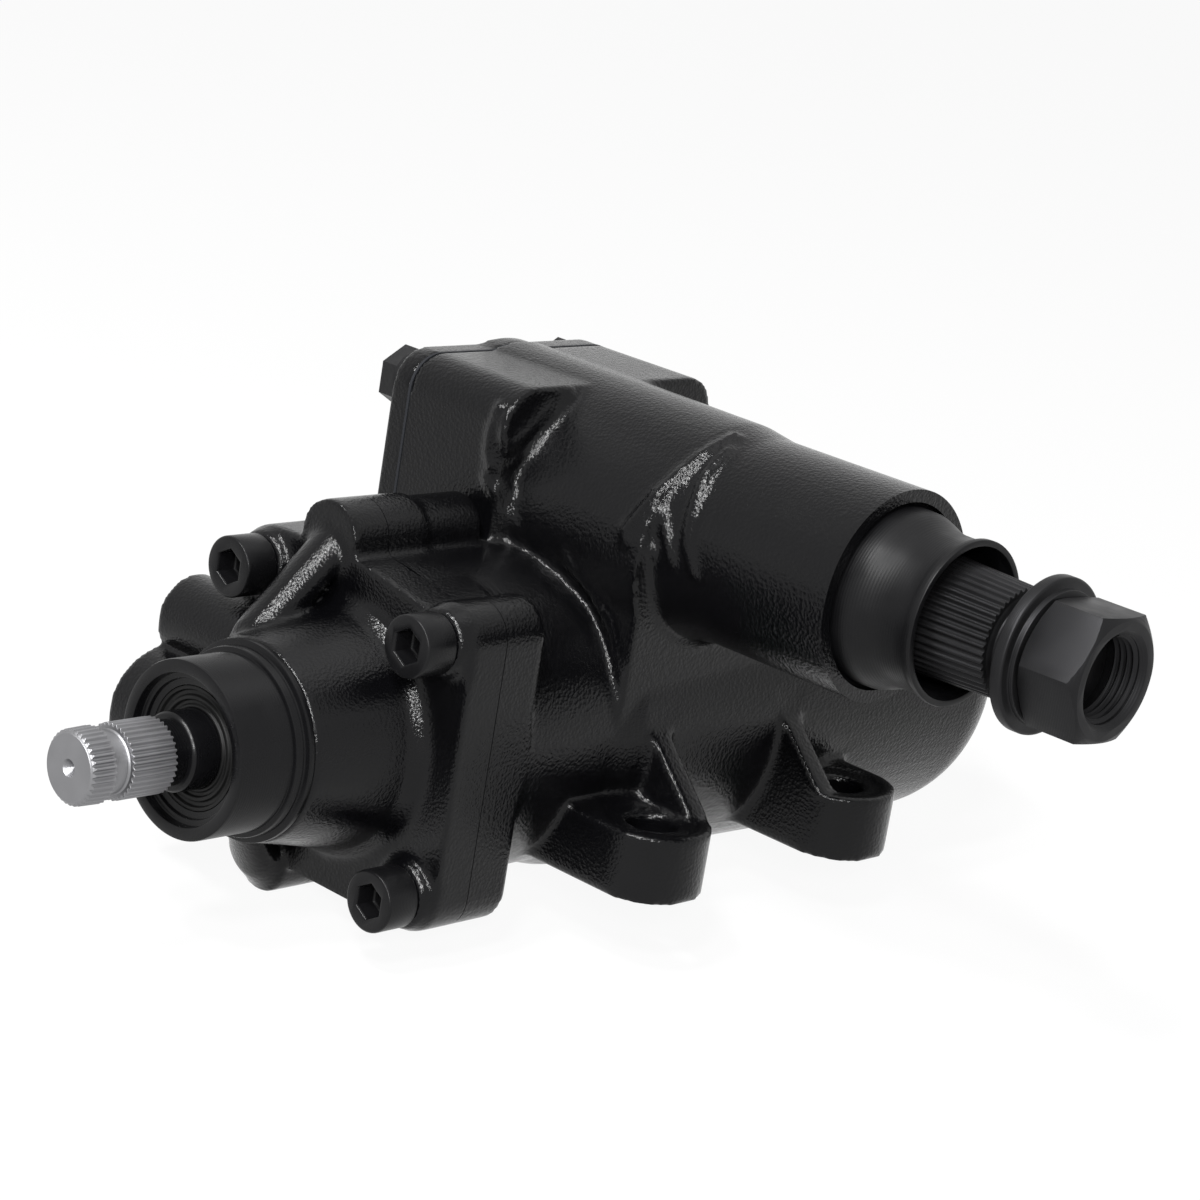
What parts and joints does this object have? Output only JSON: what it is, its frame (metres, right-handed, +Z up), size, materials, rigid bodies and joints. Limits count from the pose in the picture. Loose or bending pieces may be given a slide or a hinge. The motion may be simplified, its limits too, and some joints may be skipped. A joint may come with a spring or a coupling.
{
  "type": "steering gearbox",
  "caption": "Recirculating-ball power steering gearbox: cast housing on four lugs, valve end with splined input shaft, and a crossing output shaft with tapered serration and nut.",
  "frame": {"origin": "middle of the four mounting holes, on the plane of the lugs' undersides", "axes": "+X along the output shaft, out of its serrated end; +Y along the worm, away from the input shaft; +Z up, square to the mounting plane"},
  "size_m": [0.2412, 0.3122, 0.1398],
  "materials": {
    "cast_iron": "gloss black enamel over a fine cast surface",
    "cast_aluminium": "gloss black enamel over a smoother casting",
    "black_steel": "black enamel over steel",
    "plated_steel": "dull zinc plate",
    "machined_steel": "machined",
    "ground_steel": "ground",
    "cup_steel": "pressed, thin black coat",
    "rubber": "matt",
    "brass": "turned",
    "seal_plastic": "smooth",
    "gasket": "matt"
  },
  "bodies": {
    "housing": {"gear_housing": "cast_iron", "valve_cover": "cast_iron", "valve_cover_screws": "black_steel", "valve_cover_seal": "rubber", "port_seats": "brass", "side_cover": "cast_aluminium", "side_cover_gasket": "gasket", "side_cover_bolts": "plated_steel", "lash_adjuster_screw": "plated_steel", "adjuster_lock_nut": "plated_steel", "side_cover_bushing": "brass", "inner_sector_bearing": "ground_steel", "outer_sector_bearing": "ground_steel", "sector_seal": "rubber", "sector_retaining_ring": "ground_steel", "pitman_dust_cup": "cup_steel", "worm_bearing_outer_race": "ground_steel", "worm_bearing_retainer": "machined_steel", "input_bearing": "ground_steel", "input_seal": "rubber", "input_retaining_ring": "ground_steel", "input_dust_seal": "rubber"},
    "sector": {"sector_shaft": "machined_steel", "pitman_washer": "plated_steel", "pitman_nut": "plated_steel"},
    "rack": {"rack_piston": "machined_steel", "piston_ring": "seal_plastic", "piston_end_plug": "machined_steel", "ball_return_guide": "plated_steel", "guide_clamp": "plated_steel", "recirculating_balls": "ground_steel"},
    "worm": {"worm_shaft": "ground_steel", "worm_bearing_inner_race": "ground_steel", "worm_bearing_balls": "ground_steel", "valve_body": "ground_steel", "valve_rings": "seal_plastic"},
    "input": {"input_shaft": "machined_steel", "torsion_bar": "ground_steel"}
  },
  "joints": [
    {"name": "pitman_turn", "type": "hinge", "parent": "housing", "child": "sector", "pos_m": [0, -0.01, 0.088], "axis": [1, 0, 0], "range_deg": [-42, 42]},
    {"name": "rack_slide", "type": "slide", "parent": "housing", "child": "rack", "axis": [0, 1, 0], "range_m": [-0.0203, 0.0203]},
    {"name": "worm_turn", "type": "hinge", "parent": "housing", "child": "worm", "pos_m": [0, -0.01, 0.031], "axis": [0, 1, 0], "range_deg": [-572, 572]},
    {"name": "input_twist", "type": "hinge", "parent": "worm", "child": "input", "pos_m": [0, -0.15, 0.031], "axis": [0, 1, 0], "range_deg": [-4, 4], "stiffness_Nm_per_rad": 125}
  ],
  "couplings": [
    {"joint": "rack_slide", "follows": "pitman_turn", "m_per_rad": 0.0275},
    {"joint": "worm_turn", "follows": "pitman_turn", "ratio": -13.605}
  ]
}
